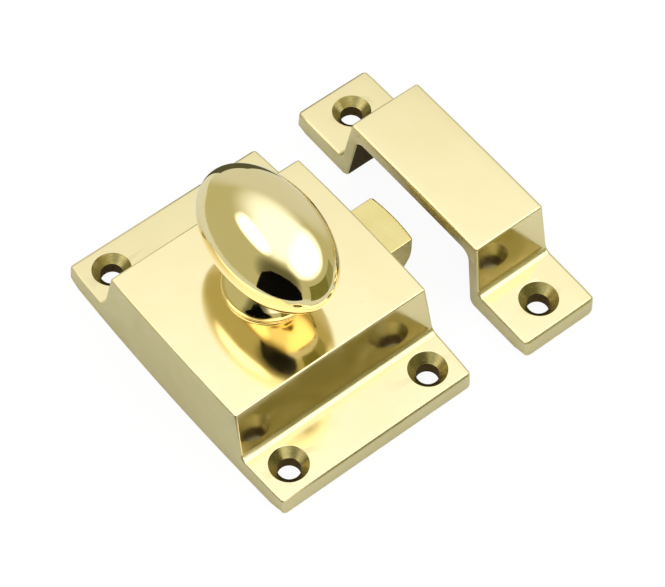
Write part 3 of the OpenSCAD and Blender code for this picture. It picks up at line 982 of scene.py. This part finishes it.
# Patches of the tent: azimuth from +Y towards +X, elevation, half width and half height in degrees,
# share of each that fades out, and the colour with its strength
patches = [
    {"name": "rear sweep", "azimuth": 44, "elevation": 5, "half": (56, 48), "fade": 0.45,
     "colour": "#DDDFD2", "strength": 1.0},
    {"name": "overhead", "azimuth": -165, "elevation": 76, "half": (62, 40), "fade": 0.7,
     "colour": "#F8FFFF", "strength": 1.6},
    {"name": "left light", "azimuth": -72, "elevation": 39, "half": (26, 16), "fade": 0.8,
     "colour": "#FFFFFF", "strength": 2.6},
    {"name": "right light", "azimuth": 164, "elevation": 43, "half": (58, 34), "fade": 0.8,
     "colour": "#FFFFFF", "strength": 2.3},
    {"name": "dim front", "azimuth": -118, "elevation": 2, "half": (34, 32), "fade": 0.6,
     "colour": "#66654A", "strength": 1.0},
]

cards = [
    {"name": "front card", "colour": "#92925A",
     "corners": [(-12, -50, 0), (28, -50, 0), (28, -50, 34), (-12, -50, 34)]},
    {"name": "side card", "colour": "#B2B286",
     "corners": [(28, -50, 0), (84, -50, 0), (84, -50, 34), (28, -50, 34)]},
    {"name": "black card", "colour": "#0A0A0A",
     "corners": [(-44, -4, 0), (-28, -52, 0), (-38, -66, 16), (-48, -66, 32),
                 (-60, -58, 45), (-72, -43, 50), (-80, -28, 47), (-82, -14, 30)]},
    {"name": "rear card", "colour": "#4A4936",
     "corners": [(6, 44, 0), (58, 44, 0), (80, 110, 24), (20, 110, 24)]},
]


def compass(azimuth, elevation=0.0):  # azimuth from +Y towards +X
    a, e = math.radians(azimuth), math.radians(elevation)
    return Vector((math.sin(a) * math.cos(e), math.cos(a) * math.cos(e), math.sin(e)))


def patchMask(tree, direction, patch):  # 1 inside the patch, fading to 0 round its oval edge
    ahead = compass(patch["azimuth"], patch["elevation"])
    across = compass(patch["azimuth"] + 90)
    above = across.cross(ahead) * -1
    forward, *sideways = [
        addNode(tree, "ShaderNodeVectorMath", {"operation": "DOT_PRODUCT"}, {
            0: direction, 1: axis}).outputs["Value"]
        for axis in (ahead, across, above)]
    power = studio["patchSquareness"]
    parts = []
    for side, half in zip(sideways, patch["half"]):
        part = addNode(tree, "ShaderNodeMath", {"operation": "ARCTAN2"}, {0: side, 1: forward})
        for operation, amount in (("DIVIDE", math.radians(half)), ("ABSOLUTE", 0), ("POWER", power)):
            part = addNode(tree, "ShaderNodeMath", {"operation": operation}, {0: part, 1: amount})
        parts.append(part)
    reach = addNode(tree, "ShaderNodeMath", {"operation": "ADD"}, dict(enumerate(parts)))
    return addNode(tree, "ShaderNodeMapRange", {"interpolation_type": "SMOOTHSTEP"}, {
        "Value": reach, "From Min": (1 - patch["fade"]) ** power, "From Max": 1.0,
        "To Min": 1.0, "To Max": 0.0})


def plainMaterial(name):
    material = bpy.data.materials.new(name)
    material.use_nodes = True
    material.node_tree.nodes.clear()
    return material, material.node_tree


def buildFloor():
    half, low = studio["floorHalf"], -studio["floorDrop"]
    corners = [(-half, -half, low), (half, -half, low), (half, half, low), (-half, half, low)]
    floor = meshObject("floor", corners, [(0, 1, 2, 3)])
    material, tree = plainMaterial("painted floor")
    spot = addNode(tree, "ShaderNodeSeparateXYZ", inputs={
        0: addNode(tree, "ShaderNodeTexCoord").outputs["Object"]})
    shares = []
    for axis, extent, centre in zip("XY", studio["sheetHalf"], studio["sheetCentre"]):
        share = spot.outputs[axis]
        for operation, amount in (("SUBTRACT", centre * mm), ("ABSOLUTE", 0), ("DIVIDE", extent * mm)):
            share = addNode(tree, "ShaderNodeMath", {"operation": operation}, {0: share, 1: amount})
        shares.append(share)
    farthest = addNode(tree, "ShaderNodeMath", {"operation": "MAXIMUM"}, dict(enumerate(shares)))
    start, end = studio["sheetEdge"]
    beyond = addNode(tree, "ShaderNodeMapRange", inputs={
        "Value": farthest, "From Min": start, "From Max": end})
    # The metal sees a pale sheet near by, and the lower walls of the tent past its edge. In the camera's eye
    # the whole floor is one white sheet of paper, which keeps a little of the shadow.
    sheet = addNode(tree, "ShaderNodeBsdfDiffuse", inputs={"Color": hexToLinear(studio["sheetColour"])})
    gap = addNode(tree, "ShaderNodeBsdfTransparent")
    mirrored = addNode(tree, "ShaderNodeMixShader", inputs={
        0: beyond, 1: sheet, 2: gap})
    shade = addNode(tree, "ShaderNodeBsdfDiffuse", inputs={"Color": (*[studio["paperWhite"]] * 3, 1)})
    glow = addNode(tree, "ShaderNodeEmission", inputs={"Color": (1, 1, 1, 1), "Strength": 1.0})
    paper = addNode(tree, "ShaderNodeMixShader", inputs={
        0: studio["paperGlow"], 1: shade, 2: glow})
    seen = addNode(tree, "ShaderNodeLightPath").outputs["Is Camera Ray"]
    mixed = addNode(tree, "ShaderNodeMixShader", inputs={0: seen, 1: mirrored, 2: paper})
    addNode(tree, "ShaderNodeOutputMaterial", inputs={"Surface": mixed})
    floor.data.materials.append(material)


def buildTent():
    world = bpy.data.worlds.new("light tent")
    bpy.context.scene.world = world
    world.use_nodes = True
    tree = world.node_tree
    tree.nodes.clear()
    direction = addNode(tree, "ShaderNodeTexCoord").outputs["Generated"]
    upward = addNode(tree, "ShaderNodeSeparateXYZ", inputs={0: direction}).outputs["Z"]
    height = addNode(tree, "ShaderNodeMath", {"operation": "ARCSINE"}, {0: upward})
    low, high = (math.radians(angle) for angle in studio["rises"])
    rise = addNode(tree, "ShaderNodeMapRange", {"interpolation_type": "SMOOTHSTEP"}, {
        "Value": height, "From Min": low, "From Max": high})
    light = addNode(tree, "ShaderNodeMix", {"data_type": "RGBA"}, {
        0: rise, 6: hexToLinear(studio["tentLow"]), 7: (*studio["tentHigh"], 1.0)}).outputs[2]
    for patch in patches:
        colour = [c * patch["strength"] for c in hexToLinear(patch["colour"])[:3]] + [1.0]
        light = addNode(tree, "ShaderNodeMix", {"data_type": "RGBA"}, {
            0: patchMask(tree, direction, patch), 6: light, 7: colour}).outputs[2]
    seen = addNode(tree, "ShaderNodeLightPath").outputs["Is Camera Ray"]
    shown = addNode(tree, "ShaderNodeMix", {"data_type": "RGBA"}, {0: seen, 6: light, 7: (1, 1, 1, 1)})
    glow = addNode(tree, "ShaderNodeBackground", inputs={"Color": shown.outputs[2], "Strength": 1.0})
    addNode(tree, "ShaderNodeOutputWorld", inputs={"Surface": glow})


def buildCards():
    for card in cards:
        sheet = meshObject(card["name"], card["corners"], [tuple(range(len(card["corners"])))])
        material, tree = plainMaterial(card["name"])
        paint = addNode(tree, "ShaderNodeBsdfDiffuse", inputs={"Color": hexToLinear(card["colour"])})
        addNode(tree, "ShaderNodeOutputMaterial", inputs={"Surface": paint})
        sheet.data.materials.append(material)
        sheet.visible_camera = False
        sheet.visible_diffuse = False
        sheet.visible_shadow = False


buildFloor()
buildTent()
buildCards()
print("studio lit:", len(patches), "patches of light")


# Camera, fitted to the corners of the case and the keep in the photo

view = {
    "azimuth": -40.017,  # degrees, from -Y towards +X
    "elevation": 56.643,
    "roll": 1.526,
    "lookAt": (14.481, -0.867, 0.0),
    "distance": 556.625,
    "focalPixels": 3000.0,
    "imageWidth": 665,
    "sensorWidth": 36.0,
    "clip": (0.01, 20),  # metres
}


def buildCamera():
    a, e = math.radians(view["azimuth"]), math.radians(view["elevation"])
    back = Vector((math.sin(a) * math.cos(e), -math.cos(a) * math.cos(e), math.sin(e)))
    right = Vector((math.cos(a), math.sin(a), 0))
    up = back.cross(right)
    roll = Matrix.Rotation(math.radians(view["roll"]), 3, back)
    right, up = roll @ right, roll @ up
    lens = bpy.data.cameras.new("camera")
    lens.sensor_fit = "HORIZONTAL"
    lens.sensor_width = view["sensorWidth"]
    lens.lens = view["focalPixels"] * view["sensorWidth"] / view["imageWidth"]
    lens.clip_start, lens.clip_end = view["clip"]
    camera = bpy.data.objects.new("camera", lens)
    bpy.context.scene.collection.objects.link(camera)
    turn = Matrix((right, up, back)).transposed()
    camera.matrix_world = Matrix.Translation(
        (Vector(view["lookAt"]) + back * view["distance"]) * mm) @ turn.to_4x4()
    bpy.context.scene.camera = camera


buildCamera()
bpy.context.scene.view_settings.view_transform = "Standard"
